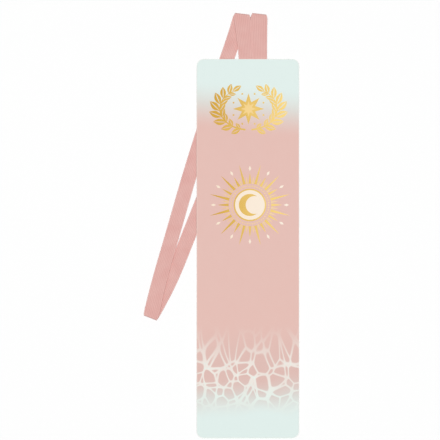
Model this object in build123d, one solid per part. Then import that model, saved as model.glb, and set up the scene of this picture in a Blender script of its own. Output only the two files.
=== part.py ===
from build123d import *
import math
import os

# Elastic-band bookmark lying on its back, in millimetres.
# X runs across the card, Y along it towards the end that the band comes out of, and Z out of the
# printed face. The origin is the middle of the card, halfway through its thickness.

# Card: a core board between two sheets, laminated with two glue films and cut out together
card_width = 50.0
card_length = 185.0
corner_radius = 3.5
sheet_thickness = 0.3
glue_thickness = 0.05

# Elastic band: one flat woven strip, folded into two legs and a loop of two strands
band_width = 7.0
band_thickness = 0.7
leg_gap = 0.1  # between the two legs, side by side
strand_clearance = 0.1  # between the card's back and the strands under it
fold_lead = 2.5  # of each layer that counts with a top fold
tip_lead = 6.0  # of each layer that counts with the loop's tip

# Anchor: the band's two ends are glued into a notch of the core, open at the card's top edge
anchor_offset = 2.3  # middle of the two legs, right of the card's middle line
anchored_length = 15.0  # of band inside the card
notch_side_clearance = 0.3  # beside the two ends
notch_end_clearance = 0.5  # past the ends' cut edges
notch_corner_radius = 1.0

# Top folds, where the legs turn back and become the strands
fold_rise = 22.1  # top of the folds above the card's top edge
fold_stagger = 0.2  # left fold above right fold
left_fold_shift = 1.7  # the left leg leans out by this much

# Routes of the two strands and the loop's tip, from the middle of the card's top edge
left_strand_route = [(-14.1, -11.5), (-26.6, -50.5), (-36.6, -84.5), (-43.2, -107.5)]
right_strand_route = [(-2.2, -12.6), (-15.5, -52.4), (-28.7, -85.9), (-37.9, -108.1)]
loop_tip_place = (-47.3, -125.0)
climb_drop = 62.5  # below the card's top edge, the left strand starts to climb over the right one
climb_length = 22.0  # along the card
arc_share = 0.45  # share of the shorter run that each arc of a route takes up

# Levels: the core is as thick as the band, so that both faces of the ends are glued
core_thickness = band_thickness
card_thickness = core_thickness + 2 * (glue_thickness + sheet_thickness)
card_back = -card_thickness / 2
core_back = -core_thickness / 2
leg_level = 0.0  # middle of the band where it is anchored and in the legs
table_level = card_back - strand_clearance - band_thickness / 2  # middle of the strands
fold_level = (leg_level + table_level) / 2
fold_outer_radius = (leg_level - table_level + band_thickness) / 2
fold_inner_radius = fold_outer_radius - band_thickness

# Places along the card, and of the legs across it
card_top = card_length / 2
band_end = card_top - anchored_length
notch_bottom = band_end - notch_end_clearance
leg_pitch = band_width + leg_gap
left_leg_x = anchor_offset - leg_pitch / 2
right_leg_x = anchor_offset + leg_pitch / 2
notch_width = leg_pitch + band_width + 2 * notch_side_clearance
climb_start = card_top - climb_drop
climb_end = climb_start - climb_length

# Middles of the exits, the folds and the routes' points in plan
left_exit = Vector(left_leg_x, card_top)
right_exit = Vector(right_leg_x, card_top)
fold_y = card_top + fold_rise - fold_outer_radius
left_fold = Vector(left_leg_x - left_fold_shift, fold_y + fold_stagger / 2)
right_fold = Vector(right_leg_x, fold_y - fold_stagger / 2)
left_strand = [Vector(x, card_top + y) for x, y in left_strand_route]
right_strand = [Vector(x, card_top + y) for x, y in right_strand_route]
loop_tip = Vector(loop_tip_place[0], card_top + loop_tip_place[1])


# Card

def card_layer(bottom, thickness):
    outline = RectangleRounded(card_width, card_length, corner_radius)
    return extrude(Pos(0, 0, bottom) * outline, thickness)


def core_board():
    # The notch runs out over the card's top edge, so only its lower corners are round
    notch_length = card_top - notch_bottom + notch_corner_radius
    outline = RectangleRounded(notch_width, notch_length, notch_corner_radius)
    notch_middle = notch_bottom + notch_length / 2
    notch = extrude(Pos(anchor_offset, notch_middle, core_back) * outline, core_thickness)
    return card_layer(core_back, core_thickness) - notch


# Elastic band

def heading(start, end):
    return (end - start).normalized()


def crossways(direction):
    # Half the band's width, square to a direction in plan and to the right of it
    return Vector(direction.Y, -direction.X) * (band_width / 2)


def bend_radii(points):
    # Each arc is as large as the two runs beside it allow
    radii = []
    for before, corner, after in zip(points, points[1:], points[2:]):
        first = corner - before
        second = after - corner
        half_turn = math.radians(first.get_angle(second)) / 2
        radii.append(arc_share * min(first.length, second.length) / math.tan(half_turn))
    return radii


def route(points):
    # Straight runs joined by tangent arcs
    return FilletPolyline(*points, radius=bend_radii(points))


def flat_band(face, level):
    return extrude(Pos(0, 0, level - band_thickness / 2) * face, band_thickness)


def straight_band(start, start_half, end, end_half, level):
    # Four-sided stretch between two lines across the band
    corners = [start - start_half, start + start_half, end + end_half, end - end_half]
    return flat_band(make_face(Polyline(*corners, close=True)), level)


def band_end_piece(leg_exit):
    across = crossways(Vector(0, 1))
    inner_end = Vector(leg_exit.X, band_end)
    return straight_band(inner_end, across, leg_exit, across, leg_level)


def band_leg(leg_exit, fold):
    # Starts flush with the card's edge and ends square to itself, short of the fold
    leg_heading = heading(leg_exit, fold)
    end = fold - leg_heading * fold_lead
    return straight_band(leg_exit, crossways(Vector(0, 1)), end, crossways(leg_heading), leg_level)


def band_fold(centre, upper_heading, lower_heading, lead):
    # A half ring on the fold line, with a short lead of each layer; the headings point away from it
    outward = -(upper_heading + lower_heading).normalized()
    fold_line = Vector(outward.Y, -outward.X)
    half_line = fold_line * (band_width / 2 / -outward.dot(upper_heading))
    ring_plane = Plane(origin=(centre.X, centre.Y, fold_level), x_dir=outward, z_dir=fold_line)
    ring = Circle(fold_outer_radius) - Circle(fold_inner_radius)
    outer_half = Rectangle(fold_outer_radius, 2 * fold_outer_radius, align=(Align.MIN, Align.CENTER))
    half_ring = extrude(ring_plane * (ring & outer_half), half_line.length, both=True)
    upper_end = centre + upper_heading * lead
    lower_end = centre + lower_heading * lead
    upper = straight_band(upper_end, crossways(-upper_heading), centre, half_line, leg_level)
    lower = straight_band(lower_end, crossways(-lower_heading), centre, half_line, table_level)
    return upper + half_ring + lower


def strand_points(fold, strand):
    start = fold + heading(fold, strand[0]) * fold_lead
    end = loop_tip + heading(loop_tip, strand[-1]) * tip_lead
    return [start, *strand, end]


def right_strand_band():
    return flat_band(trace(route(right_strand_points), band_width), table_level)


def left_strand_band():
    # The plan outline, cut by a side view that climbs from the table to the legs' level
    low = table_level - band_thickness
    height = leg_level + band_thickness - low
    outline = extrude(Pos(0, 0, low) * trace(route(left_strand_points), band_width), height)
    side_points = [
        Vector(left_strand_points[0].Y + band_width, table_level),
        Vector(climb_start, table_level),
        Vector(climb_end, leg_level),
        Vector(left_strand_points[-1].Y - band_width, leg_level),
    ]
    side = Plane.YZ * trace(route(side_points), band_thickness)
    reach = max(abs(point.X) for point in left_strand_points) + band_width
    return outline & extrude(side, reach, both=True)


left_strand_points = strand_points(left_fold, left_strand)
right_strand_points = strand_points(right_fold, right_strand)

nodes = {
    "front_sheet": card_layer(-card_back - sheet_thickness, sheet_thickness),
    "front_glue_film": card_layer(-core_back, glue_thickness),
    "core_board": core_board(),
    "back_glue_film": card_layer(core_back - glue_thickness, glue_thickness),
    "back_sheet": card_layer(card_back, sheet_thickness),
    "band_end_left": band_end_piece(left_exit),
    "band_end_right": band_end_piece(right_exit),
    "band_leg_left": band_leg(left_exit, left_fold),
    "band_leg_right": band_leg(right_exit, right_fold),
    "band_fold_left": band_fold(
        left_fold, heading(left_fold, left_exit), heading(left_fold, left_strand[0]), fold_lead
    ),
    "band_fold_right": band_fold(
        right_fold, heading(right_fold, right_exit), heading(right_fold, right_strand[0]), fold_lead
    ),
    "band_strand_left": left_strand_band(),
    "band_strand_right": right_strand_band(),
    "band_loop_tip": band_fold(
        loop_tip, heading(loop_tip, left_strand[-1]), heading(loop_tip, right_strand[-1]), tip_lead
    ),
}

os.makedirs("parts", exist_ok=True)
for name, solid in nodes.items():
    export_step(solid, f"parts/{name}.step")

# Radii of the strands' arcs, and each strand's volume beside its section times its length
free_length = (left_fold - left_exit).length + (right_fold - right_exit).length
for name, points in (
    ("band_strand_left", left_strand_points),
    ("band_strand_right", right_strand_points),
):
    radii = ", ".join(f"{radius:.0f}" for radius in bend_radii(points))
    length = route(points).length
    swept = length * band_width * band_thickness
    print(f"{name}: radii {radii}; volume {nodes[name].volume:.2f}, section times length {swept:.2f}")
    free_length += length + fold_lead + tip_lead

# The line that the loop unfolds about, the line that it stretches along, and the band's free length
free_length += 3 * math.pi * (leg_level - table_level) / 2
fold_middle = (left_fold + right_fold) / 2
left_out = -(heading(left_fold, left_exit) + heading(left_fold, left_strand[0])).normalized()
right_out = -(heading(right_fold, right_exit) + heading(right_fold, right_strand[0])).normalized()
unfold_out = (left_out + right_out).normalized()
stretch = heading(fold_middle, loop_tip)
print(f"unfold axis through {fold_middle.X:.3f}, {fold_middle.Y:.3f}, {fold_level:.3f}")
print(f"unfold axis along {unfold_out.Y:.5f}, {-unfold_out.X:.5f}, 0")
print(f"stretch along {stretch.X:.5f}, {stretch.Y:.5f}, 0")
print(f"card front at {-card_back:.3f}, table at {table_level - band_thickness / 2:.3f}")
print(f"band outside the card {free_length:.1f} long")
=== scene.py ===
import math

import bpy
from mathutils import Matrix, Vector


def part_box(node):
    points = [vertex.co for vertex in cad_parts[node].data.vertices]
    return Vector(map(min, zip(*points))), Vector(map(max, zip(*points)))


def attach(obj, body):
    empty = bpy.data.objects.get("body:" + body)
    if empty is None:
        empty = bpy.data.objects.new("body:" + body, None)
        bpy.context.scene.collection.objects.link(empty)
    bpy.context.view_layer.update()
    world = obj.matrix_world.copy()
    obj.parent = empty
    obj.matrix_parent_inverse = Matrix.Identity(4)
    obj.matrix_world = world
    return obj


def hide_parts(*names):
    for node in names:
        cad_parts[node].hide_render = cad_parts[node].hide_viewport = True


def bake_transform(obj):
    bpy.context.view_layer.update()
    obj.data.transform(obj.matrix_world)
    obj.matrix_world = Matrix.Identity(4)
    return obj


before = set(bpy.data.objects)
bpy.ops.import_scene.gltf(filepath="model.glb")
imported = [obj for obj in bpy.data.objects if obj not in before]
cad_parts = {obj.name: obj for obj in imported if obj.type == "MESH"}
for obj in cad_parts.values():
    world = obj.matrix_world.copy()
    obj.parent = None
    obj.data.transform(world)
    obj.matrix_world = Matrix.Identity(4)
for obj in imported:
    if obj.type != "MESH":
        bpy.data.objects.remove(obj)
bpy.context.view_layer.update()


class Field:
    # A node's output that can stand in a formula, where each sign adds a Math node
    def __init__(self, tree, socket):
        self.tree = tree
        self.socket = socket

    def __add__(self, other):
        return calc(self.tree, "ADD", self, other)

    def __sub__(self, other):
        return calc(self.tree, "SUBTRACT", self, other)

    def __rsub__(self, other):
        return calc(self.tree, "SUBTRACT", other, self)

    def __mul__(self, other):
        return calc(self.tree, "MULTIPLY", self, other)

    def __truediv__(self, other):
        return calc(self.tree, "DIVIDE", self, other)

    def __pow__(self, other):
        return calc(self.tree, "POWER", self, other)

    def __abs__(self):
        return calc(self.tree, "ABSOLUTE", self)


def fillInputs(tree, node, inputs):
    # A field is linked, and a plain value is set on the node itself
    for key, value in inputs.items():
        if isinstance(value, Field):
            tree.links.new(value.socket, node.inputs[key])
        else:
            node.inputs[key].default_value = value


def addNode(tree, kind, inputs=None, **settings):
    node = tree.nodes.new(kind)
    for name, value in settings.items():
        setattr(node, name, value)
    fillInputs(tree, node, inputs or {})
    return node


def nodeOut(tree, kind, inputs=None, output=0, **settings):
    return Field(tree, addNode(tree, kind, inputs, **settings).outputs[output])


def fieldsOf(tree, node):
    return {socket.name: Field(tree, socket) for socket in node.outputs}


def calc(tree, operation, *values):
    return nodeOut(tree, "ShaderNodeMath", dict(enumerate(values)), operation=operation)


def vectorCalc(tree, operation, *values):
    return nodeOut(tree, "ShaderNodeVectorMath", dict(enumerate(values)), operation=operation)


def scaleVector(tree, vector, factor):
    return nodeOut(tree, "ShaderNodeVectorMath", {0: vector, "Scale": factor}, operation="SCALE")


def makeVector(tree, x=0.0, y=0.0, z=0.0):
    return nodeOut(tree, "ShaderNodeCombineXYZ", {0: x, 1: y, 2: z})


def splitVector(tree, vector):
    return list(fieldsOf(tree, addNode(tree, "ShaderNodeSeparateXYZ", {0: vector})).values())


def fade(tree, value, low, high, start=0.0, end=1.0):
    # Eases from start to end while the value goes from low to high
    inputs = {"Value": value, "From Min": low, "From Max": high, "To Min": start, "To Max": end}
    return nodeOut(tree, "ShaderNodeMapRange", inputs, interpolation_type="SMOOTHSTEP")


def arches(tree, phase):
    # A row of arches from 0 up to 1, one to each whole step
    return abs(calc(tree, "SINE", phase * math.pi))


def noise(tree, place, scale, detail=2.0, roughness=0.5, output="Fac"):
    inputs = {"Vector": place, "Scale": scale, "Detail": detail, "Roughness": roughness}
    return nodeOut(tree, "ShaderNodeTexNoise", inputs, output)


def cellDistance(tree, feature, dimensions, inputs):
    settings = {"feature": feature, "voronoi_dimensions": dimensions}
    return nodeOut(tree, "ShaderNodeTexVoronoi", inputs, "Distance", **settings)


def mixColours(tree, share, first, second, blend="MIX"):
    inputs = {0: share, 6: first, 7: second}  # the sockets for colours
    return nodeOut(tree, "ShaderNodeMix", inputs, 2, data_type="RGBA", blend_type=blend)


def objectPlace(tree):
    return nodeOut(tree, "ShaderNodeTexCoord", output="Object")


def bumped(tree, height, strength, distance):
    return nodeOut(tree, "ShaderNodeBump", {"Height": height, "Strength": strength, "Distance": distance})


def paint(red, green, blue):
    # Display values of 0 to 255 as the linear colour that nodes take
    shares = [value / 255 for value in (red, green, blue)]
    return (*[((share + 0.055) / 1.055) ** 2.4 if share > 0.04 else share / 12.92 for share in shares], 1.0)


def newTree(name, kind, inputs, outputs):
    tree = bpy.data.node_groups.new(name, kind)
    for label, socketType, value in inputs:
        socket = tree.interface.new_socket(label, in_out="INPUT", socket_type=socketType)
        if value is not None:
            socket.default_value = value
    for label, socketType in outputs:
        tree.interface.new_socket(label, in_out="OUTPUT", socket_type=socketType)
    source = fieldsOf(tree, tree.nodes.new("NodeGroupInput"))
    return tree, source, tree.nodes.new("NodeGroupOutput")


def shapeTree(name, sizes, finishes):
    # A tree that makes a mesh, with one named input for each size and each material
    kinds = {int: "NodeSocketInt", float: "NodeSocketFloat"}
    inputs = [("Geometry", "NodeSocketGeometry", None)]
    inputs += [(label, kinds[type(value)], value) for label, value in sizes.items()]
    inputs += [(label, "NodeSocketMaterial", None) for label in finishes]
    return newTree(name, "GeometryNodeTree", inputs, [("Geometry", "NodeSocketGeometry")])


def mergeClose(tree, shape, reach=1e-7):
    return nodeOut(tree, "GeometryNodeMergeByDistance", {"Geometry": shape, "Distance": reach})


def flipFaces(tree, shape, selection=True):
    return nodeOut(tree, "GeometryNodeFlipFaces", {"Mesh": shape, "Selection": selection})


def realize(tree, shape):
    return nodeOut(tree, "GeometryNodeRealizeInstances", {0: shape})


def setMaterial(tree, shape, material):
    return nodeOut(tree, "GeometryNodeSetMaterial", {"Geometry": shape, "Material": material})


def newMaterial(name):
    material = bpy.data.materials.new(name)
    material.use_nodes = True
    tree = material.node_tree
    return material, tree, tree.nodes["Principled BSDF"]


def runTree(name, mesh, tree, values):
    # The tree's result on a mesh, as a plain mesh object
    maker = bpy.data.objects.new(name + "Maker", mesh)
    bpy.context.collection.objects.link(maker)
    modifier = maker.modifiers.new("maker", "NODES")
    modifier.node_group = tree
    for socket in tree.interface.items_tree:
        if socket.in_out == "INPUT" and socket.name in values:
            modifier[socket.identifier] = values[socket.name]
    depsgraph = bpy.context.evaluated_depsgraph_get()
    made = bpy.data.meshes.new_from_object(
        maker.evaluated_get(depsgraph), preserve_all_data_layers=True, depsgraph=depsgraph
    )
    made.name = name
    bpy.data.objects.remove(maker)
    piece = bpy.data.objects.new(name, made)
    bpy.context.collection.objects.link(piece)
    return piece


# Camera straight above the card
camera = {
    "above": (-0.0136, 0.01396),  # the picture's middle
    "height": 0.8954,
    "lens": 150.0,
    "sensor": 36.0,
}


def addCamera():
    data = bpy.data.cameras.new("topCamera")
    data.lens = camera["lens"]
    data.sensor_width = camera["sensor"]
    holder = bpy.data.objects.new("topCamera", data)
    holder.location = (*camera["above"], camera["height"])
    bpy.context.collection.objects.link(holder)
    bpy.context.scene.camera = holder


addCamera()
print("camera placed")


# Elastic band: its route from the left end, over the folds and the tip, to the right end
band = {
    "width": 0.007,
    "thickness": 0.0007,
    "columns": 112,  # round the section
    "ribs": 9,
    "ribDepth": 0.00005,
    "selvage": 100.0,  # the higher, the squarer the edges
    "rowsPerPoint": 40,
    "legLevel": 0.0,
    "tableLevel": -0.00115,
    "innerEnd": 0.0775,  # Y of the glued ends
    "cardEdge": 0.0925,  # Y of the card's top edge
    "leftExit": (-0.00409, 0.00269),  # X of the legs' edges, squeezed into the card and together
    "rightExit": (0.00259, 0.00933),
    "meeting": 0.1090,  # Y below the folds where the legs' edges meet
    "leftMeeting": (-0.00625, 0.00165),
    "rightMeeting": (0.00155, 0.00946),
    "leftFold": (-0.00285, 0.113875),
    "rightFold": (0.00555, 0.113825),
    "foldSpread": (1.175, 0.985),  # wider where it is pressed flat, and a little less round the fold
    "leftStrand": [
        (-0.0062, 0.1044, -0.00115),
        (-0.0143, 0.0810, -0.00115),
        (-0.0266, 0.0420, -0.00115),
        (-0.0302, 0.0300, -0.00115),  # starts to climb over the right strand
        (-0.03645, 0.0080, -0.00035),
        (-0.0432, -0.0150, -0.00035),
    ],
    "rightStrand": [
        (-0.0022, 0.0799, -0.00115),
        (-0.0155, 0.0401, -0.00115),
        (-0.0288, 0.0066, -0.00115),
        (-0.0376, -0.0156, -0.00115),
    ],
    "tip": (-0.0474, -0.0331),
    "tipSpread": (1.09, 0.95),
    "rootReach": 0.0045,  # from the card's edge to the end of the piece that bends there
    "topReach": 0.030,  # from a top fold to the end of the piece that bends there
    "edgeBend": 0.0038,  # from the card's edge to where a leg has turned fully
    "unfoldMiddle": (0.00145, 0.113675),  # of the line that the loop unfolds about
    "foldBend": (-0.0004, -0.00075),  # Z where a fold starts to turn and has turned fully
    "stretch": (0.036, 0.144),  # from that line along the loop, where the stretch starts and is full
}


def flatHeading(start, end):
    return (Vector(end[:2]) - Vector(start[:2])).normalized()


def acrossFrom(heading):
    # Square to a heading in plan, always on the +X side
    side = Vector((heading.y, -heading.x))
    return side if side.x > 0 else -side


def foldStops(centre, before, after, startLevel, endLevel, spread):
    # Four points round an oblique fold, each with half the fold line as its side
    incoming = flatHeading(centre, before)
    outgoing = flatHeading(centre, after)
    outward = -(incoming + outgoing).normalized()
    halfLine = acrossFrom(outward).to_3d() * (band["width"] / 2 / -outward.dot(incoming))
    layer, turn = spread
    radius = (band["legLevel"] - band["tableLevel"]) / 2
    middle = Vector(centre)
    flats = [
        (middle + incoming * radius, startLevel, layer),
        (middle + outward * radius, startLevel, turn),
        (middle + outward * radius, endLevel, turn),
        (middle + outgoing * radius, endLevel, layer),
    ]
    return [(Vector((*flat, level)), halfLine * share) for flat, level, share in flats]


def runStops(points, before, after):
    # Points of a run, each with half the width square to its two neighbours' directions
    chain = [before, *points, after]
    stops = []
    for first, here, last in zip(chain, points, chain[2:]):
        arriving = flatHeading(first, here)
        middle = (arriving + flatHeading(here, last)).normalized()
        half = acrossFrom(middle) * (band["width"] / 2 / middle.dot(arriving))
        stops.append((Vector(here), half.to_3d()))
    return stops


def legStops(side):
    # From the glued end to below the fold, between the two edges
    stops = []
    for edges, y in (("Exit", "innerEnd"), ("Exit", "cardEdge"), ("Meeting", "meeting")):
        first, last = band[side + edges]
        middle = Vector(((first + last) / 2, band[y], band["legLevel"]))
        stops.append((middle, Vector(((last - first) / 2, 0, 0))))
    return stops


def bandStops():
    upper = band["legLevel"]
    lower = band["tableLevel"]
    left = band["leftStrand"]
    right = band["rightStrand"]
    leftLeg = legStops("left")
    rightLeg = legStops("right")
    return [
        *leftLeg,
        *foldStops(band["leftFold"], leftLeg[-1][0], left[0], upper, lower, band["foldSpread"]),
        *runStops(left, band["leftFold"], band["tip"]),
        *foldStops(band["tip"], left[-1], right[-1], upper, lower, band["tipSpread"]),
        *runStops(right[::-1], band["tip"], band["rightFold"]),
        *foldStops(band["rightFold"], right[0], rightLeg[-1][0], lower, upper, band["foldSpread"]),
        *rightLeg[::-1],
    ]


def readRoute(name, points):
    # Points of the smooth line that has these as its control points
    data = bpy.data.curves.new(name, "CURVE")
    data.dimensions = "3D"
    spline = data.splines.new("NURBS")
    spline.points.add(len(points) - 1)
    for target, point in zip(spline.points, points):
        target.co = (*point, 1.0)
    spline.order_u = 3
    spline.use_endpoint_u = True
    spline.resolution_u = band["rowsPerPoint"]
    holder = bpy.data.objects.new(name, data)
    bpy.context.collection.objects.link(holder)
    line = bpy.data.meshes.new_from_object(holder)
    found = [vertex.co.copy() for vertex in line.vertices]
    bpy.data.objects.remove(holder)
    return found


def bandSizes():
    return {
        "Columns": band["columns"],
        "Half Thickness": band["thickness"] / 2,
        "Ribs": band["ribs"],
        "Rib Depth": band["ribDepth"],
        "Selvage": band["selvage"],
    }


def bandTree():
    # Sweeps a ribbed flat section along a line of points that carry half the width as a vector
    tree, source, target = shapeTree("wovenBand", bandSizes(), ["Elastic"])
    line = source["Geometry"]
    columns = source["Columns"]
    pointCount = nodeOut(tree, "GeometryNodeAttributeDomainSize", {0: line}, "Point Count", component="MESH")
    rows = pointCount + 2  # one more at each end, which closes it
    around = columns + 1
    grid = nodeOut(tree, "GeometryNodeMeshGrid", {"Vertices X": rows, "Vertices Y": around})
    index = nodeOut(tree, "GeometryNodeInputIndex")
    gridRow = calc(tree, "FLOOR", (index + 0.5) / around)
    row = gridRow - 1.0
    turn = (index - gridRow * around) / columns

    # From one edge to the other on the upper face and back on the lower one, closer together at the edges
    flatShare = 1.0 - abs(turn - 0.5) * 4.0
    signed = abs(flatShare) ** 3.0 * calc(tree, "SIGN", flatShare)
    across = flatShare * 1.5 - signed * 0.5
    face = calc(tree, "SIGN", 0.5 - turn)

    # Thickness: rounded selvages, and ribs between them
    rounding = calc(tree, "SQRT", calc(tree, "MAXIMUM", 1.0 - abs(across) ** source["Selvage"], 0.0))
    rib = arches(tree, (across + 1.0) * (source["Ribs"] * 0.5)) * source["Rib Depth"]
    height = (source["Half Thickness"] - source["Rib Depth"] + rib) * rounding * face

    def lineField(name, kind):
        return nodeOut(tree, "GeometryNodeInputNamedAttribute", {"Name": name}, data_type=kind)

    def lineValue(field, rowNumber, kind="FLOAT_VECTOR"):
        inputs = {"Geometry": line, "Value": field, "Index": rowNumber}
        settings = {"data_type": kind, "domain": "POINT", "clamp": True}
        return nodeOut(tree, "GeometryNodeSampleIndex", inputs, "Value", **settings)

    place = nodeOut(tree, "GeometryNodeInputPosition")
    side = lineValue(lineField("halfWidth", "FLOAT_VECTOR"), row)
    run = lineValue(lineField("run", "FLOAT"), row, "FLOAT")
    along = vectorCalc(tree, "SUBTRACT", lineValue(place, row + 1.0), lineValue(place, row - 1.0))
    outward = vectorCalc(tree, "NORMALIZE", vectorCalc(tree, "CROSS_PRODUCT", side, along))
    offset = vectorCalc(tree, "ADD", scaleVector(tree, side, across), scaleVector(tree, outward, height))
    position = vectorCalc(tree, "ADD", lineValue(place, row), offset)

    # The place on the band is stored before the columns meet
    shaped = nodeOut(tree, "GeometryNodeSetPosition", {"Geometry": grid, "Position": position})
    for name, value in (("bandRun", run), ("bandAcross", across)):
        inputs = {"Geometry": shaped, "Name": name, "Value": value}
        shaped = nodeOut(tree, "GeometryNodeStoreNamedAttribute", inputs, data_type="FLOAT", domain="POINT")

    # Smooth sides, flat ends, and a sharp rim between them
    faceRow = calc(tree, "FLOOR", (index + 0.5) / columns)
    onSides = calc(tree, "GREATER_THAN", faceRow * (pointCount - faceRow), 0.5)
    inputs = {"Geometry": flipFaces(tree, shaped), "Shade Smooth": onSides}
    closed = mergeClose(tree, nodeOut(tree, "GeometryNodeSetShadeSmooth", inputs))
    soft = nodeOut(tree, "GeometryNodeInputShadeSmooth")
    softShare = nodeOut(tree, "GeometryNodeFieldOnDomain", {0: soft}, data_type="FLOAT", domain="FACE")
    onRim = calc(tree, "LESS_THAN", softShare, 0.9)
    inputs = {"Geometry": closed, "Selection": onRim, "Shade Smooth": False}
    rimmed = nodeOut(tree, "GeometryNodeSetShadeSmooth", inputs, domain="EDGE")
    fillInputs(tree, target, {"Geometry": setMaterial(tree, realize(tree, rimmed), source["Elastic"])})
    return tree


def lineMesh(name, points, sides, runs):
    mesh = bpy.data.meshes.new(name)
    mesh.from_pydata(points, [(first, first + 1) for first in range(len(points) - 1)], [])
    halfWidth = mesh.attributes.new("halfWidth", "FLOAT_VECTOR", "POINT")
    halfWidth.data.foreach_set("vector", [value for side in sides for value in side])
    run = mesh.attributes.new("run", "FLOAT", "POINT")
    run.data.foreach_set("value", runs)
    return mesh


def nearestRow(runs, cut):
    return min(range(len(runs)), key=lambda row: abs(runs[row] - cut))


def buildBand(material):
    stops = bandStops()
    middles = readRoute("bandMiddle", [place for place, half in stops])
    edges = readRoute("bandEdge", [place + half for place, half in stops])
    sides = [edge - middle for edge, middle in zip(edges, middles)]
    runs = [0.0]
    for first, last in zip(middles, middles[1:]):
        runs.append(runs[-1] + (last - first).length)

    # Cuts where the band lies flat: past each exit, and past each top fold
    total = runs[-1]
    glued = band["cardEdge"] - band["innerEnd"]
    leftLeg = band["leftFold"][1] - band["cardEdge"]
    rightLeg = band["rightFold"][1] - band["cardEdge"]
    cuts = [
        0.0,
        glued + band["rootReach"],
        glued + leftLeg + band["topReach"],
        total - glued - rightLeg - band["topReach"],
        total - glued - band["rootReach"],
        total,
    ]
    rows = [nearestRow(runs, cut) for cut in cuts]
    names = ["bandRootLeft", "bandTopLeft", "bandLoop", "bandTopRight", "bandRootRight"]
    tree = bandTree()
    values = {**bandSizes(), "Elastic": material}
    pieces = {}
    for name, first, last in zip(names, rows, rows[1:]):
        cut = slice(first, last + 1)
        length = runs[last] - runs[first]
        piece = runTree(name, lineMesh(name, middles[cut], sides[cut], runs[cut]), tree, values)
        pieces[name] = (piece, middles[cut], length)
        print(name, "length", round(length, 4), "faces", len(piece.data.polygons))
    print("band length", round(total, 4))
    return pieces


def fitBand(pieces):
    # Each piece, at the card's edge, a top fold or the loop, is baked in place, and the parts that it stands
    # for are hidden
    for side in ("Left", "Right"):
        root = pieces["bandRoot" + side][0]
        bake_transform(root)
        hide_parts("band_end_" + side.lower())
        top, topLine, topLength = pieces["bandTop" + side]
        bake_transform(top)
        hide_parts("band_leg_" + side.lower(), "band_fold_" + side.lower())
    loop, loopLine, loopLength = pieces["bandLoop"]
    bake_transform(loop)
    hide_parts("band_strand_left", "band_strand_right", "band_loop_tip")


# Paper: fibre grain that the printed sheet, the plain sheet and the board share
pulp = {
    "detail": 4.0,
    "roughness": 0.6,
    "grainShare": 0.6,  # of the tone, and the clouds have the rest
    "cloudScale": 0.06,  # of the grain's scale
    "waveScale": 500.0,
    "wave": (0.002, 0.002, 0.0),  # that bends the flecks
    "drawn": (1.0, 0.28, 1.0),  # out along the card
    "fleck": (0.05, 0.12, 1.0, 0.0),  # from its middle, where it is full and ends, and its share there
}


def fibreGroup():
    tree, source, target = newTree(
        "paperFibre",
        "ShaderNodeTree",
        [
            ("Vector", "NodeSocketVector", None),
            ("Scale", "NodeSocketFloat", 900.0),
            ("Fleck Scale", "NodeSocketFloat", 260.0),
        ],
        [("Tone", "NodeSocketFloat"), ("Flecks", "NodeSocketFloat"), ("Height", "NodeSocketFloat")],
    )
    place = source["Vector"]
    grain = noise(tree, place, source["Scale"], pulp["detail"], pulp["roughness"])
    cloud = noise(tree, place, source["Scale"] * pulp["cloudScale"])
    wave = vectorCalc(tree, "MULTIPLY", noise(tree, place, pulp["waveScale"], output="Color"), pulp["wave"])
    drawn = vectorCalc(tree, "MULTIPLY", vectorCalc(tree, "ADD", place, wave), pulp["drawn"])
    inputs = {"Vector": drawn, "Scale": source["Fleck Scale"], "Randomness": 1.0}
    fillInputs(tree, target, {
        "Tone": grain * pulp["grainShare"] + cloud * (1.0 - pulp["grainShare"]),
        "Flecks": fade(tree, cellDistance(tree, "F1", "3D", inputs), *pulp["fleck"]),
        "Height": grain,
    })
    return tree


fibre = fibreGroup()


def paperGrain(tree, scale):
    inputs = {"Vector": objectPlace(tree), "Scale": scale}
    return fieldsOf(tree, addNode(tree, "ShaderNodeGroup", inputs, node_tree=fibre))


# Printed sheet: pink field that turns mint at both ends, with a web of glaze above the lower one
printSheet = {
    "pink": paint(230, 192, 183),
    "mint": paint(227, 241, 237),
    "between": paint(224, 220, 214),
    "betweenAt": 0.55,  # of the way from pink to mint
    "web": paint(241, 234, 226),
    "knot": paint(233, 243, 236),
    "paper": paint(238, 234, 226),
    "face": 0.00069,  # Z above which the sheet is printed
    "corner": 0.0035,
    "rubbed": 0.0005,  # width of the rim where the print is rubbed thin
    "rubbedShare": 0.8,
    "topFade": (0.0555, 0.0805),  # Y where the pink starts to turn and is all mint
    "topSlant": 0.098,  # rise of that fade across the card
    "bottomFade": (-0.0618, -0.0830),
    "bottomSlant": -0.04,
    "cloudScale": 60.0,
    "cloudReach": 0.008,  # how far the lower fade wanders
    "webs": [(155.0, 0.41), (125.0, 0.83)],  # cells to a metre of two webs, and where each is taken from
    "cellHeight": 1.1,
    "unevenScale": 60.0,
    "unevenCells": 0.006,
    "melt": 0.85,  # how far the cells run together
    "meltedKnots": (0.06, 0.20),  # of that, where a knot starts and is full
    "knotSwell": 0.0006,  # that it adds to each side of a line
    "swells": (-0.0480, -0.0600, 0.35, 1.0),  # Y where it is least and full, and its share there
    "fillet": 0.0018,  # where lines cross
    "line": (0.00058, 0.0),  # from a line's middle, where it starts and is full
    "coolKnot": (-0.0002, -0.0007),
    "cover": (0.40, 0.60, 0.82, 1.0),  # of the unevenness, where the glaze is thin and full, and its share
    "ground": (0.945, 0.985, 0.995, 1.0),  # tint between the lines
    "drawn": (-0.0590, -0.0500),  # Y where the web starts to be drawn upwards, and is fully drawn
    "streak": 0.42,
    "webTop": (-0.0360, -0.0585),
    "webBottom": (-0.0825, -0.0715),
    "webCools": (-0.0640, -0.0730),
    "grainScale": 2600.0,
    "grainShare": 0.05,
    "roughness": (0.2, 0.8, 0.5, 0.66),
    "specular": 0.25,
    "bump": (0.08, 0.00002),
}


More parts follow.
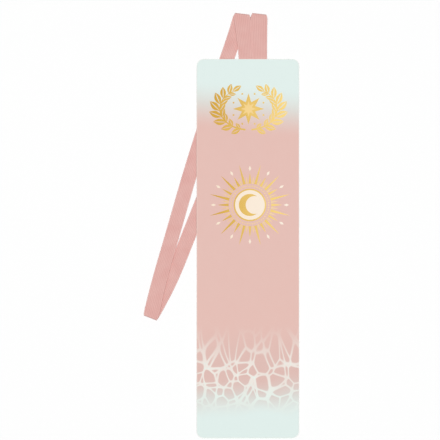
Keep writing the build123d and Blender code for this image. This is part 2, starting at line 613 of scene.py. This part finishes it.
def drawnUp(tree, y):
    # Y in the webs, whose cells grow taller upwards until they are streaks
    low, high = printSheet["drawn"]
    bend = calc(tree, "MINIMUM", calc(tree, "MAXIMUM", y - low, 0.0), high - low)
    past = calc(tree, "MAXIMUM", y - high, 0.0)
    lost = (bend * bend / (2 * (high - low)) + past) * (1.0 - printSheet["streak"])
    return (y - lost) / printSheet["cellHeight"]


def lineReach(tree, spot, cells, shift, swells):
    # How far from the nearest line between a web's cells, which is thicker where lines meet
    inputs = {"Vector": vectorCalc(tree, "ADD", spot, (shift, shift, 0.0)), "Scale": cells}
    edge = cellDistance(tree, "DISTANCE_TO_EDGE", "2D", inputs) / cells
    sharp = cellDistance(tree, "F1", "2D", inputs)
    melted = cellDistance(tree, "SMOOTH_F1", "2D", {**inputs, "Smoothness": printSheet["melt"]})
    knot = fade(tree, sharp - melted, *printSheet["meltedKnots"], 0.0, printSheet["knotSwell"])
    return edge - knot * swells


def webMask(tree, x, y):
    # The lines of both webs, where they are cool, and how much of the card's length they take
    flat = makeVector(tree, x, drawnUp(tree, y))
    wander = noise(tree, flat, printSheet["unevenScale"], 1.0, output="Color")
    centred = vectorCalc(tree, "SUBTRACT", wander, (0.5, 0.5, 0.5))
    uneven = printSheet["unevenCells"]
    spot = vectorCalc(tree, "ADD", flat, vectorCalc(tree, "MULTIPLY", centred, (uneven, uneven, 0.0)))
    swells = fade(tree, y, *printSheet["swells"])
    reaches = [lineReach(tree, spot, cells, shift, swells) for cells, shift in printSheet["webs"]]
    reach = calc(tree, "SMOOTH_MIN", *reaches, printSheet["fillet"])
    cover = fade(tree, splitVector(tree, wander)[0], *printSheet["cover"])
    span = fade(tree, y, *printSheet["webTop"]) * fade(tree, y, *printSheet["webBottom"])
    lines = fade(tree, reach, *printSheet["line"]) * cover * span
    knots = fade(tree, reach, *printSheet["coolKnot"])
    cool = calc(tree, "MAXIMUM", knots, fade(tree, y, *printSheet["webCools"]))
    return lines, cool, span


def rimMask(tree, x, y, tone):
    # How near to the card's outline, rubbed unevenly
    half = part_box("front_sheet")[1]
    corner = printSheet["corner"]
    besides = calc(tree, "MAXIMUM", abs(x) - (half[0] - corner), 0.0)
    beyond = calc(tree, "MAXIMUM", abs(y) - (half[1] - corner), 0.0)
    inputs = {0: makeVector(tree, besides, beyond)}
    reach = nodeOut(tree, "ShaderNodeVectorMath", inputs, "Value", operation="LENGTH")
    near = fade(tree, reach, corner - printSheet["rubbed"], corner)
    return near * (tone * printSheet["rubbedShare"])


def printedMaterial():
    material, tree, shader = newMaterial("printedPaper")
    place = objectPlace(tree)
    x, y, z = splitVector(tree, place)
    grain = paperGrain(tree, printSheet["grainScale"])
    tone = grain["Tone"]

    # Both fades on one ramp from pink through grey to mint
    top = fade(tree, y + x * printSheet["topSlant"], *printSheet["topFade"])
    wander = (noise(tree, place, printSheet["cloudScale"], 1.0) - 0.5) * printSheet["cloudReach"]
    bottom = fade(tree, y + (x * printSheet["bottomSlant"] + wander), *printSheet["bottomFade"])
    ramp = addNode(tree, "ShaderNodeValToRGB", {0: calc(tree, "MAXIMUM", top, bottom)})
    stops = ramp.color_ramp.elements
    stops[0].color = printSheet["pink"]
    stops[1].color = printSheet["mint"]
    stops.new(printSheet["betweenAt"]).color = printSheet["between"]
    faded = Field(tree, ramp.outputs[0])

    # Web of glaze, on a ground that is a little deeper between its lines
    lines, cool, span = webMask(tree, x, y)
    webColour = mixColours(tree, cool, printSheet["web"], printSheet["knot"])
    ground = mixColours(tree, span - bottom, faded, printSheet["ground"], "MULTIPLY")
    field = mixColours(tree, lines, ground, webColour)

    # Bare paper on the cut edge, and a little of it along the rim
    rubbed = mixColours(tree, rimMask(tree, x, y, tone), field, printSheet["paper"])
    printed = calc(tree, "GREATER_THAN", z, printSheet["face"])
    colour = mixColours(tree, printed, printSheet["paper"], rubbed)
    fillInputs(tree, shader, {
        "Base Color": mixColours(tree, printSheet["grainShare"], colour, tone, "OVERLAY"),
        "Roughness": fade(tree, tone, *printSheet["roughness"]),
        "Specular IOR Level": printSheet["specular"],
        "Normal": bumped(tree, grain["Height"], *printSheet["bump"]),
    })
    return material


# Uncoated stock: the plain back sheet and the grey core
uncoated = {
    "shade": 0.86,  # of the darker clouds
    "clouds": (0.35, 0.65),
    "roughness": (0.3, 0.7, 0.8, 0.95),
    "specular": 0.2,
    "bumpDepth": 0.00004,
}
plainSheet = {
    "colour": paint(240, 237, 229),
    "flecks": paint(205, 196, 180),
    "fleckShare": 0.25,
    "grainScale": 1500.0,
    "bump": 0.25,
}
greyBoard = {
    "colour": paint(188, 182, 172),
    "flecks": paint(120, 112, 102),
    "fleckShare": 0.6,
    "grainScale": 1100.0,
    "bump": 0.5,
}


def boardMaterial(name, stock):
    # Tone that clouds a little, flecks of darker pulp, and a felt surface
    material, tree, shader = newMaterial(name)
    grain = paperGrain(tree, stock["grainScale"])
    tone = grain["Tone"]
    darker = (*[value * uncoated["shade"] for value in stock["colour"][:3]], 1.0)
    cloudy = mixColours(tree, fade(tree, tone, *uncoated["clouds"]), darker, stock["colour"])
    fillInputs(tree, shader, {
        "Base Color": mixColours(tree, grain["Flecks"] * stock["fleckShare"], cloudy, stock["flecks"]),
        "Roughness": fade(tree, tone, *uncoated["roughness"]),
        "Specular IOR Level": uncoated["specular"],
        "Normal": bumped(tree, grain["Height"], stock["bump"], uncoated["bumpDepth"]),
    })
    return material


# Glue films between the sheets and the core
driedGlue = {
    "thin": paint(222, 216, 198),
    "thick": paint(240, 236, 222),
    "blotScale": 700.0,
    "blotDetail": 3.0,
    "blots": (0.35, 0.65),
    "roughness": (0.3, 0.7, 0.3, 0.55),
    "bump": (0.2, 0.00002),
}


def glueMaterial():
    material, tree, shader = newMaterial("driedGlue")
    blots = noise(tree, objectPlace(tree), driedGlue["blotScale"], driedGlue["blotDetail"])
    thick = fade(tree, blots, *driedGlue["blots"])
    fillInputs(tree, shader, {
        "Base Color": mixColours(tree, thick, driedGlue["thin"], driedGlue["thick"]),
        "Roughness": fade(tree, blots, *driedGlue["roughness"]),
        "Normal": bumped(tree, blots, *driedGlue["bump"]),
    })
    return material


def dressCard():
    glue = glueMaterial()
    finishes = {
        "front_sheet": printedMaterial(),
        "front_glue_film": glue,
        "core_board": boardMaterial("greyBoard", greyBoard),
        "back_glue_film": glue,
        "back_sheet": boardMaterial("plainPaper", plainSheet),
    }
    for node, material in finishes.items():
        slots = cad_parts[node].data.materials
        slots.clear()
        slots.append(material)


dressCard()
print("card dressed")


# Elastic: plied ribs, crossing picks and firmer selvages, with painted shade in the valleys and painted
# light on the crests and selvages
weave = {
    # crest and valley colours are painted highlight and painted shade, which the ribs' height picks between
    "crestPaintedHighlight": paint(230, 182, 175),
    "valleyPaintedShade": paint(219, 169, 162),
    "lit": (0.1, 0.8),  # heights of the full valley and the full crest
    # painted light on the selvages, lighter than the body, which lifts the shade at their rounded edges
    "selvage": paint(234, 187, 180),
    "selvageFrom": (0.86, 0.98),  # of half the width, where it starts and is full
    "selvagePaintedLightShare": 0.6,
    "pickLength": 0.00062,
    "pickLean": 0.5,  # of a pick's length, across one rib
    "pickDepth": 0.45,  # of a rib's height
    "fuzzScale": 6.0,  # to a millimetre, as the wear's is
    "fuzzDetail": 3.0,
    "fuzzColour": 0.5,
    "fuzzHeight": 0.25,
    "wearScale": 0.16,
    "wearShare": 0.12,
    "roughness": (0.2, 0.8, 0.72, 0.92),
    "specular": 0.2,
    "sheen": 0.15,
    "sheenRoughness": 0.5,
    "bump": (0.4, 0.00006),
}


def elasticMaterial():
    material, tree, shader = newMaterial("pinkElastic")
    run = nodeOut(tree, "ShaderNodeAttribute", output="Fac", attribute_name="bandRun")
    across = nodeOut(tree, "ShaderNodeAttribute", output="Fac", attribute_name="bandAcross")
    phase = (across + 1.0) * (band["ribs"] / 2)
    ribNumber = calc(tree, "FLOOR", phase)

    # Picks lean one way on one rib and the other way on the next
    lean = calc(tree, "MODULO", ribNumber, 2.0) * 2.0 - 1.0
    slant = (phase - ribNumber) * lean * weave["pickLean"]
    pick = arches(tree, run / weave["pickLength"] + slant)
    raised = arches(tree, phase) * (pick * weave["pickDepth"] + (1.0 - weave["pickDepth"]))

    # Fuzz and wear, by the place on the band in millimetres
    spot = makeVector(tree, across * (band["width"] / 2 * 1000), run * 1000.0)
    fuzz = noise(tree, spot, weave["fuzzScale"], weave["fuzzDetail"])
    wear = noise(tree, spot, weave["wearScale"], 1.0)
    # Painted shade in the valleys and painted highlight on the crests, by the height of the ribs and picks,
    # with fuzz that varies it at random
    lit = fade(tree, raised + (fuzz - 0.5) * weave["fuzzColour"], *weave["lit"])
    body = mixColours(tree, lit, weave["valleyPaintedShade"], weave["crestPaintedHighlight"])
    # Painted light on the selvages, which lifts the shade at their rounded edges
    selvage = fade(tree, abs(across), *weave["selvageFrom"]) * weave["selvagePaintedLightShare"]
    paintedRibAndSelvageLight = mixColours(tree, selvage, body, weave["selvage"])
    fillInputs(tree, shader, {
        "Base Color": mixColours(tree, weave["wearShare"], paintedRibAndSelvageLight, wear, "OVERLAY"),
        "Roughness": fade(tree, fuzz, *weave["roughness"]),
        "Specular IOR Level": weave["specular"],
        "Sheen Weight": weave["sheen"],
        "Sheen Roughness": weave["sheenRoughness"],
        "Normal": bumped(tree, raised + fuzz * weave["fuzzHeight"], *weave["bump"]),
    })
    return material


bandPieces = buildBand(elasticMaterial())
fitBand(bandPieces)
print("band fitted")


# Foil: painted reflection that is lighter towards one side of the card, with the ripple of a pressed film
foilRippleAndPaintedSheen = {
    "darkX": -0.019,
    "lightX": 0.021,
    "rippleScale": 140.0,
    "grainScale": 2400.0,
    "rippleShare": 0.6,  # of the height, and the grain has the rest
    "gloss": (0.3, 0.7, 0.8, 1.2),  # heights that are glossiest and dullest, and times its roughness there
    "bump": (0.12, 0.00003),
}


def foilSheenGroup():
    # Share from the dark to the light side of the foil's painted reflection, and the height of its ripple
    tree, source, target = newTree(
        "foilSheen",
        "ShaderNodeTree",
        [("Vector", "NodeSocketVector", None), ("Ripple", "NodeSocketFloat", 0.3)],
        [("Share", "NodeSocketFloat"), ("Height", "NodeSocketFloat")],
    )
    place = source["Vector"]
    wide = noise(tree, place, foilRippleAndPaintedSheen["rippleScale"])
    fine = noise(tree, place, foilRippleAndPaintedSheen["grainScale"])
    x = splitVector(tree, place)[0]
    inputs = {"Value": x, "From Min": foilRippleAndPaintedSheen["darkX"], "From Max": foilRippleAndPaintedSheen["lightX"]}
    slope = nodeOut(tree, "ShaderNodeMapRange", inputs)
    # Painted reflection: dark at darkX and light at lightX, moved a little by the ripple
    fillInputs(tree, target, {
        "Share": slope + (wide - 0.5) * source["Ripple"],
        "Height": wide * foilRippleAndPaintedSheen["rippleShare"] + fine * (1.0 - foilRippleAndPaintedSheen["rippleShare"]),
    })
    return tree


foilSheen = foilSheenGroup()


def foilMaterial(name, dark, light, metallic, roughness):
    material, tree, shader = newMaterial(name)
    inputs = {"Vector": objectPlace(tree)}
    sheen = fieldsOf(tree, addNode(tree, "ShaderNodeGroup", inputs, node_tree=foilSheen))
    low, high, glossy, dull = foilRippleAndPaintedSheen["gloss"]
    # Base colour: painted reflection between the foil's dark and light colours
    fillInputs(tree, shader, {
        "Base Color": mixColours(tree, sheen["Share"], dark, light),
        "Metallic": metallic,
        "Roughness": fade(tree, sheen["Height"], low, high, roughness * glossy, roughness * dull),
        "Normal": bumped(tree, sheen["Height"], *foilRippleAndPaintedSheen["bump"]),
    })
    return material


# Each foil: the dark and light ends of its painted reflection, how metallic it is, and its roughness
foils = {
    "Gold": foilMaterial("goldFoil", paint(208, 162, 62), paint(250, 220, 140), 1.0, 0.3),
    "Pale": foilMaterial("paleGoldFoil", paint(232, 194, 118), paint(247, 222, 165), 1.0, 0.35),
    "Cream": foilMaterial("creamFoil", paint(249, 230, 208), paint(252, 240, 224), 0.0, 0.4),
}


# Foil: a wreath round a star above, and a sunburst round a crescent below it
wreath = {
    "place": (0.0003, 0.0682),
    "arc": (-84.0, 140.0),  # degrees where the right spray starts, and that it goes round
    "Leaf Pairs": 8,
    "End Gap": 0.6,  # steps from a stem's ends to its first and last pair
    "Half Width": 0.0140,
    "Half Height": 0.0102,
    "Leaf Length": 0.0064,
    "Leaf Width": 0.0031,
    "End Size": 0.72,  # of the leaves at a spray's ends
    "Swell": 0.34,  # by which the leaves in its middle are larger
    "Last Size": 0.8,  # of the leaf that ends it
    "Inner Size": 0.72,  # of the leaves inside the ring
    "Spread": 0.68,
    "Vein": 0.13,  # share of a leaf that stays bare along its middle
    "Tip Gap": 0.00001,  # half of what keeps a leaf's two sides apart at its tips
    "Stem Width": 0.0008,
    "Stem Taper": 0.6,
    "Star Points": 8,
    "Star Radius": 0.0076,
    "Star Waist": 0.0035,
    "Star Core": 0.5,
    "Bead Ring": 0.0079,
    "Bead Radius": 0.00045,
    "Lift": 0.00002,
    "Layer Rise": 0.7,  # of the lift, each layer above the one that it overlaps
    "Leaf Rise": 0.0000015,  # each leaf above the one before it
}
sunburst = {
    "place": (0.0010, 0.0213),
    "Rays": 24,
    "Ray Start": 0.0104,
    "Long Ray": 0.0098,
    "Short Ray": 0.0052,
    "Ray Width": 0.0014,
    "Ray Taper": 0.8,
    "Fine Ray": 0.0036,
    "Fine Width": 0.45,  # of a ray's
    "Dots": 48,
    "Dot Radius": 0.00032,
    "Dot Ring": 0.0092,
    "Disc Radius": 0.0076,
    "Ring Width": 0.0007,
    "Crescent Radius": 0.0054,
    "hollow": (0.8077, 0.4231),  # radius and shift of its hollow, as shares of that radius
    "Diamond": 0.0009,
    "Diamond Ring": 0.0178,
    "diamondShape": (0.7, 1.5, 1.0),
    "Lift": 0.00002,
    "Gold Lift": 1.5,  # of the lift, because gold lies over cream
}
foilRows = {"leaf": 13, "stem": 49, "ray": 7, "ring": 97, "crescent": 49}
foilCorners = {"bead": 14, "dot": 12, "diamond": 4, "disc": 72}
cardFace = 0.0007


def sizesOf(settings):
    return {label: value for label, value in settings.items() if not isinstance(value, tuple)}


def flatStrip(tree, rows, shape):
    # A strip of faces from along 0 to 1 and across -1 to 1, moved to where shape says
    inputs = {"Size X": 1.0, "Size Y": 2.0, "Vertices X": rows, "Vertices Y": 2}
    grid = nodeOut(tree, "GeometryNodeMeshGrid", inputs)
    spot = splitVector(tree, nodeOut(tree, "GeometryNodeInputPosition"))
    inputs = {"Geometry": grid, "Position": shape(spot[0] + 0.5, spot[1])}
    return nodeOut(tree, "GeometryNodeSetPosition", inputs)


def flatCircle(tree, corners, radius):
    return nodeOut(tree, "GeometryNodeMeshCircle", {"Vertices": corners, "Radius": radius}, fill_type="NGON")


def polar(tree, angle, radiusX, radiusY):
    return makeVector(tree, calc(tree, "COSINE", angle) * radiusX, calc(tree, "SINE", angle) * radiusY)


def addPoints(tree, count, spots):
    return nodeOut(tree, "GeometryNodePoints", {"Count": count, "Position": spots})


def ringPoints(tree, count, radius, shift):
    # Points on a ring, and the turn that heads each of them outwards
    index = nodeOut(tree, "GeometryNodeInputIndex")
    angle = (index + shift) / count * (2 * math.pi)
    return addPoints(tree, count, polar(tree, angle, radius, radius)), angle - math.pi / 2


def setOn(tree, points, shape, turn=0.0, scale=(1.0, 1.0, 1.0)):
    rotation = makeVector(tree, 0.0, 0.0, turn)
    inputs = {"Points": points, "Instance": shape, "Rotation": rotation, "Scale": scale}
    return nodeOut(tree, "GeometryNodeInstanceOnPoints", inputs)


def joinShapes(tree, shapes):
    join = tree.nodes.new("GeometryNodeJoinGeometry")
    for shape in shapes:
        fillInputs(tree, join, {0: shape})
    return Field(tree, join.outputs[0])


def mirrored(tree, shape):
    # Turned over in X, with its faces outward again
    inputs = {"Geometry": shape, "Scale": (-1.0, 1.0, 1.0)}
    return flipFaces(tree, nodeOut(tree, "GeometryNodeTransform", inputs))


def raiseFoil(tree, flat, lift, material):
    # Flat shapes become thin closed plates that face up
    joined = mergeClose(tree, realize(tree, flat))
    normal = splitVector(tree, nodeOut(tree, "GeometryNodeInputNormal"))
    base = flipFaces(tree, joined, calc(tree, "LESS_THAN", normal[2], 0.0))
    inputs = {"Mesh": base, "Offset Scale": lift, "Individual": False}
    raised = nodeOut(tree, "GeometryNodeExtrudeMesh", inputs, mode="FACES")
    closed = mergeClose(tree, joinShapes(tree, [raised, flipFaces(tree, base)]))
    return setMaterial(tree, closed, material)


def finishFoil(tree, target, shapes, place):
    inputs = {"Geometry": joinShapes(tree, shapes), "Translation": (*place, cardFace)}
    fillInputs(tree, target, {"Geometry": realize(tree, nodeOut(tree, "GeometryNodeTransform", inputs))})


def wreathTree():
    tree, source, target = shapeTree("laurelWreath", sizesOf(wreath), foils)
    firstAngle, sweep = [math.radians(angle) for angle in wreath["arc"]]

    def angleAt(share):
        return share * sweep + firstAngle

    def onRing(angle):
        return polar(tree, angle, source["Half Width"], source["Half Height"])

    def flatScale(size):
        return makeVector(tree, size, size, 1.0)

    def halfLeaf(along, across):
        # From the bare vein out to the leaf's edge
        halfWidth = calc(tree, "SINE", along * math.pi) * (source["Leaf Width"] * 0.5)
        share = (across + 1.0) * 0.5 * (1.0 - source["Vein"]) + source["Vein"]
        return makeVector(tree, share * halfWidth + source["Tip Gap"], along * source["Leaf Length"])

    def stemShape(along, across):
        taper = 1.0 - along * source["Stem Taper"]
        offset = across * taper * (source["Stem Width"] * 0.5)
        return polar(tree, angleAt(along), source["Half Width"] + offset, source["Half Height"] + offset)

    # Leaves stand in pairs along the stem
    rightHalf = flatStrip(tree, foilRows["leaf"], halfLeaf)
    leaf = joinShapes(tree, [rightHalf, mirrored(tree, rightHalf)])
    stem = flatStrip(tree, foilRows["stem"], stemShape)
    index = nodeOut(tree, "GeometryNodeInputIndex")
    steps = source["Leaf Pairs"] + (source["End Gap"] * 2.0 - 1.0)
    share = (index + source["End Gap"]) / steps
    angle = angleAt(share)
    rise = makeVector(tree, 0.0, 0.0, index * source["Leaf Rise"])
    points = addPoints(tree, source["Leaf Pairs"], vectorCalc(tree, "ADD", onRing(angle), rise))

    # Each pair heads along the ring, with its leaves spread from there, and one leaf ends the stem
    up = calc(tree, "COSINE", angle) * source["Half Height"]
    left = calc(tree, "SINE", angle) * (source["Half Width"] * -1.0)
    heading = calc(tree, "ARCTAN2", up, left) - math.pi / 2
    outerSize = calc(tree, "SINE", share * math.pi) * source["Swell"] + source["End Size"]
    innerSize = outerSize * source["Inner Size"]
    inner = setOn(tree, points, leaf, heading + source["Spread"], flatScale(innerSize))
    outer = setOn(tree, points, leaf, heading - source["Spread"], flatScale(outerSize))
    lastPoint = addPoints(tree, 1, onRing(angleAt(1.0)))
    lastLeaf = setOn(tree, lastPoint, leaf, angleAt(1.0), flatScale(source["Last Size"]))

    # Each layer a little higher than the one it overlaps, and the left spray mirrors the right one
    layers = [stem, inner, outer, lastLeaf]
    lifts = [source["Lift"] * (source["Layer Rise"] * number + 1.0) for number in range(len(layers))]
    plates = [raiseFoil(tree, layer, lift, source["Gold"]) for layer, lift in zip(layers, lifts)]
    rightSpray = joinShapes(tree, plates)

    # Star with a paler core, and a bead between every two of its points
    inputs = {
        "Points": source["Star Points"],
        "Inner Radius": source["Star Waist"],
        "Outer Radius": source["Star Radius"],
    }
    outline = nodeOut(tree, "GeometryNodeCurveStar", inputs)
    star = nodeOut(tree, "GeometryNodeFillCurve", {0: outline})
    inputs = {"Geometry": star, "Scale": flatScale(source["Star Core"])}
    core = nodeOut(tree, "GeometryNodeTransform", inputs)
    bead = flatCircle(tree, foilCorners["bead"], source["Bead Radius"])
    beads = setOn(tree, ringPoints(tree, source["Star Points"], source["Bead Ring"], 0.5)[0], bead)
    shapes = [
        rightSpray,
        mirrored(tree, rightSpray),
        raiseFoil(tree, joinShapes(tree, [star, beads]), lifts[0], source["Gold"]),
        raiseFoil(tree, core, lifts[2], source["Pale"]),
    ]
    finishFoil(tree, target, shapes, wreath["place"])
    return tree


def sunburstTree():
    tree, source, target = shapeTree("sunburst", sizesOf(sunburst), foils)

    def rayShape(along, across):
        halfWidth = (1.0 - along) ** source["Ray Taper"] * (source["Ray Width"] * 0.5)
        return makeVector(tree, across * halfWidth, along)

    def ringShape(along, across):
        radius = across * (source["Ring Width"] * 0.5) + source["Disc Radius"]
        return polar(tree, along * (2 * math.pi), radius, radius)

    def crescentShape(along, across):
        # Between a circle and a smaller one that is moved to the right
        hollow, shift = sunburst["hollow"]
        tipX = (1 + shift ** 2 - hollow ** 2) / (2 * shift)  # where the two circles cross
        outerTip = math.acos(-tipX)
        innerTip = math.acos((shift - tipX) / hollow)
        turn = (along - 0.5) * -2.0
        outerSpot = polar(tree, turn * outerTip + math.pi, 1.0, 1.0)
        innerRound = polar(tree, turn * innerTip + math.pi, hollow, hollow)
        innerSpot = vectorCalc(tree, "ADD", innerRound, (shift, 0.0, 0.0))
        span = vectorCalc(tree, "SUBTRACT", outerSpot, innerSpot)
        spot = vectorCalc(tree, "ADD", innerSpot, scaleVector(tree, span, (across + 1.0) * 0.5))
        return scaleVector(tree, spot, source["Crescent Radius"])

    # Long and short rays in turn, fine ones between them
    ray = flatStrip(tree, foilRows["ray"], rayShape)
    points, turn = ringPoints(tree, source["Rays"], source["Ray Start"], 0.0)
    odd = calc(tree, "MODULO", nodeOut(tree, "GeometryNodeInputIndex"), 2.0)
    reach = odd * (source["Long Ray"] - source["Short Ray"]) + source["Short Ray"]
    rays = setOn(tree, points, ray, turn, makeVector(tree, 1.0, reach, 1.0))
    points, turn = ringPoints(tree, source["Rays"], source["Ray Start"], 0.5)
    fineScale = makeVector(tree, source["Fine Width"], source["Fine Ray"], 1.0)
    fineRays = setOn(tree, points, ray, turn, fineScale)

    # Dots round the disc, and diamonds off the short rays
    dot = flatCircle(tree, foilCorners["dot"], source["Dot Radius"])
    points, turn = ringPoints(tree, source["Dots"], source["Dot Ring"], 0.0)
    dots = setOn(tree, points, dot, turn)
    square = flatCircle(tree, foilCorners["diamond"], source["Diamond"])
    points, turn = ringPoints(tree, source["Rays"] / 2, source["Diamond Ring"], 0.0)
    diamonds = setOn(tree, points, square, turn, sunburst["diamondShape"])

    # Disc with a ring round it and a crescent on it
    disc = flatCircle(tree, foilCorners["disc"], source["Disc Radius"])
    ring = flatStrip(tree, foilRows["ring"], ringShape)
    crescent = flatStrip(tree, foilRows["crescent"], crescentShape)
    goldLift = source["Lift"] * source["Gold Lift"]
    shapes = [
        raiseFoil(tree, joinShapes(tree, [rays, ring, crescent]), goldLift, source["Gold"]),
        raiseFoil(tree, joinShapes(tree, [fineRays, dots]), source["Lift"], source["Pale"]),
        raiseFoil(tree, joinShapes(tree, [disc, diamonds]), source["Lift"], source["Cream"]),
    ]
    finishFoil(tree, target, shapes, sunburst["place"])
    return tree


def pressFoil(name, tree, settings):
    blank = bpy.data.meshes.new(name + "Blank")
    piece = runTree(name, blank, tree, {**sizesOf(settings), **foils})
    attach(piece, "card")
    print(name, "faces", len(piece.data.polygons))


pressFoil("foilWreath", wreathTree(), wreath)
pressFoil("foilSunburst", sunburstTree(), sunburst)


# Studio: soft light from straight above, a little from two sides, and a floor of frosted white sheet
studio = {
    "white": (1.0, 1.0, 1.0, 1.0),
    "worldLevel": 0.20,
    "floorLevel": -0.0015,
    "floorSize": 3.0,
    "floorColour": paint(225, 225, 225),
    "floorClear": 0.7,  # share of light that the floor lets through, the rest takes the shadow
    "lamps": [  # place, size, share of a level of 1 on the card, and whether gloss shows it
        ("overheadSoftbox", (-0.0136, 0.014, 1.5), 0.65, 0.742, False),
        ("keySoftbox", (-0.55, 0.45, 0.95), 0.7, 0.06, True),
        ("fillSoftbox", (0.65, -0.35, 0.85), 0.9, 0.04, True),
        ("underSoftbox", (-0.0136, 0.014, -1.2), 0.9, 0.65, False),  # through the floor, on the back
    ],
}


def seenDirectly(tree):
    path = fieldsOf(tree, addNode(tree, "ShaderNodeLightPath"))
    throughGloss = calc(tree, "MAXIMUM", path["Is Glossy Ray"], path["Is Transmission Ray"])
    return calc(tree, "MAXIMUM", path["Is Camera Ray"], throughGloss)


def addWorld():
    world = bpy.data.worlds.new("studio")
    world.use_nodes = True
    tree = world.node_tree
    level = seenDirectly(tree) * (1.0 - studio["worldLevel"]) + studio["worldLevel"]
    fillInputs(tree, tree.nodes["Background"], {"Color": studio["white"], "Strength": level})
    bpy.context.scene.world = world


def addLamps():
    for name, place, size, share, inGloss in studio["lamps"]:
        spot = Vector(place)
        data = bpy.data.lights.new(name, "AREA")
        data.size = size
        data.energy = share * math.pi ** 2 * spot.length ** 3 / abs(spot.z)
        lamp = bpy.data.objects.new(name, data)
        lamp.location = spot
        lamp.rotation_euler = (-spot).to_track_quat("-Z", "Y").to_euler()
        lamp.visible_glossy = inGloss
        bpy.context.collection.objects.link(lamp)


def addFloor():
    half = studio["floorSize"] / 2
    corners = [(-half, -half), (half, -half), (half, half), (-half, half)]
    mesh = bpy.data.meshes.new("floor")
    mesh.from_pydata([(*corner, studio["floorLevel"]) for corner in corners], [], [(0, 1, 2, 3)])
    floor = bpy.data.objects.new("floor", mesh)
    bpy.context.collection.objects.link(floor)
    material, tree, shader = newMaterial("frostedFloor")
    seen = seenDirectly(tree)
    colour = mixColours(tree, seen, studio["floorColour"], studio["white"])
    fillInputs(tree, shader, {"Base Color": colour, "Roughness": 1.0, "Specular IOR Level": 0.0})

    # Partly clear to the eye and to shadow rays, so that what is under it shows and the back is lit
    clear = nodeOut(tree, "ShaderNodeBsdfTransparent")
    shadowRay = nodeOut(tree, "ShaderNodeLightPath", output="Is Shadow Ray")
    share = calc(tree, "MAXIMUM", seen, shadowRay) * studio["floorClear"]
    frosted = Field(tree, shader.outputs[0])
    surface = nodeOut(tree, "ShaderNodeMixShader", {0: share, 1: frosted, 2: clear})
    fillInputs(tree, tree.nodes["Material Output"], {"Surface": surface})
    mesh.materials.append(material)


addWorld()
addLamps()
addFloor()
bpy.context.scene.view_settings.view_transform = "Standard"
print("studio lit")
